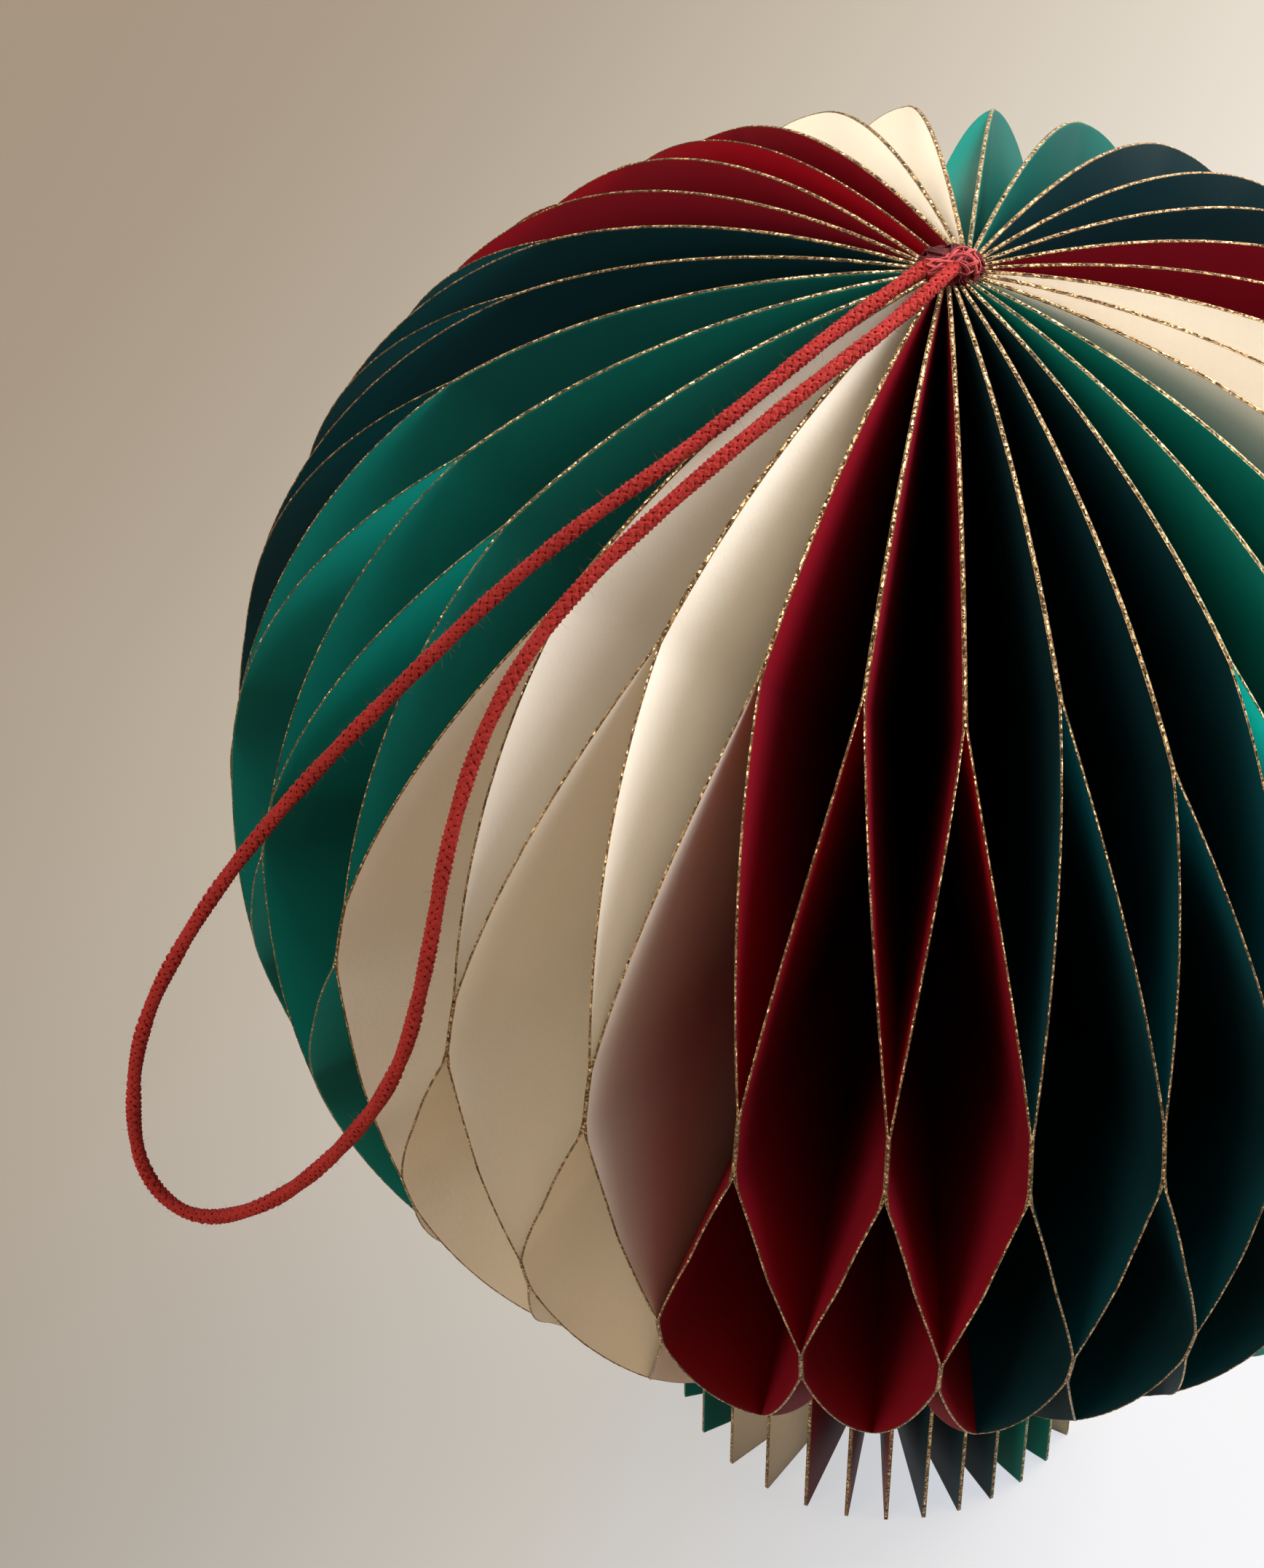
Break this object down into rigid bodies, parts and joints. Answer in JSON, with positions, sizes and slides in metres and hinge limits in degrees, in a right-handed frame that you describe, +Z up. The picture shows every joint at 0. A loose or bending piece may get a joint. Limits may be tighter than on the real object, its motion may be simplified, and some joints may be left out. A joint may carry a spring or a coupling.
{
  "type": "paper christmas ball ornament",
  "caption": "Round ornament of die-cut card leaves glued into open pockets round a slim core, with a short straight tail below and a loop of braided cord for hanging it.",
  "frame": {"origin": "on the table, under the middle of the tail, with the ornament standing upright", "axes": "+Z up through the core to the crown; -Y towards the viewer; the two ends of the fan of leaves meet at the back, towards +Y and -X; the cord's loop falls towards -X and -Y"},
  "size_m": [0.1243, 0.1198, 0.1368],
  "materials": {
    "petrol_card": "matt dark petrol card",
    "teal_card": "matt teal card",
    "cream_card": "matt cream card",
    "red_card": "matt deep red card",
    "gold_glitter": "glitter on the card edges",
    "red_cord": "braided cotton"
  },
  "bodies": {
    "root": {"closing_leaf": "red_card", "cord_knot": "red_cord", "cord_loop": "red_cord", "cream_leaf_01": "cream_card", "cream_leaf_02": "cream_card", "cream_leaf_03": "cream_card", "cream_leaf_04": "cream_card", "cream_leaf_05": "cream_card", "cream_leaf_06": "cream_card", "cream_leaf_07": "cream_card", "cream_leaf_08": "cream_card", "cream_leaf_09": "cream_card", "cream_leaf_10": "cream_card", "cream_leaf_11": "cream_card", "cream_leaf_12": "cream_card", "cream_leaf_13": "cream_card", "cream_leaf_14": "cream_card", "cream_leaf_15": "cream_card", "petrol_leaf_01": "petrol_card", "petrol_leaf_02": "petrol_card", "petrol_leaf_03": "petrol_card", "petrol_leaf_04": "petrol_card", "petrol_leaf_05": "petrol_card", "petrol_leaf_06": "petrol_card", "petrol_leaf_07": "petrol_card", "petrol_leaf_08": "petrol_card", "petrol_leaf_09": "petrol_card", "petrol_leaf_10": "petrol_card", "petrol_leaf_11": "petrol_card", "petrol_leaf_12": "petrol_card", "petrol_leaf_13": "petrol_card", "petrol_leaf_14": "petrol_card", "petrol_leaf_15": "petrol_card", "red_leaf_01": "red_card", "red_leaf_02": "red_card", "red_leaf_03": "red_card", "red_leaf_05": "red_card", "red_leaf_06": "red_card", "red_leaf_07": "red_card", "red_leaf_09": "red_card", "red_leaf_10": "red_card", "red_leaf_11": "red_card", "red_leaf_pair_04": "red_card", "red_leaf_pair_08": "red_card", "red_leaf_pair_12": "red_card", "teal_leaf_01": "teal_card", "teal_leaf_02": "teal_card", "teal_leaf_03": "teal_card", "teal_leaf_04": "teal_card", "teal_leaf_05": "teal_card", "teal_leaf_06": "teal_card", "teal_leaf_07": "teal_card", "teal_leaf_08": "teal_card", "teal_leaf_09": "teal_card", "teal_leaf_10": "teal_card", "teal_leaf_11": "teal_card", "teal_leaf_12": "teal_card", "teal_leaf_13": "teal_card", "teal_leaf_14": "teal_card", "teal_leaf_15": "teal_card"}
  },
  "joints": []
}
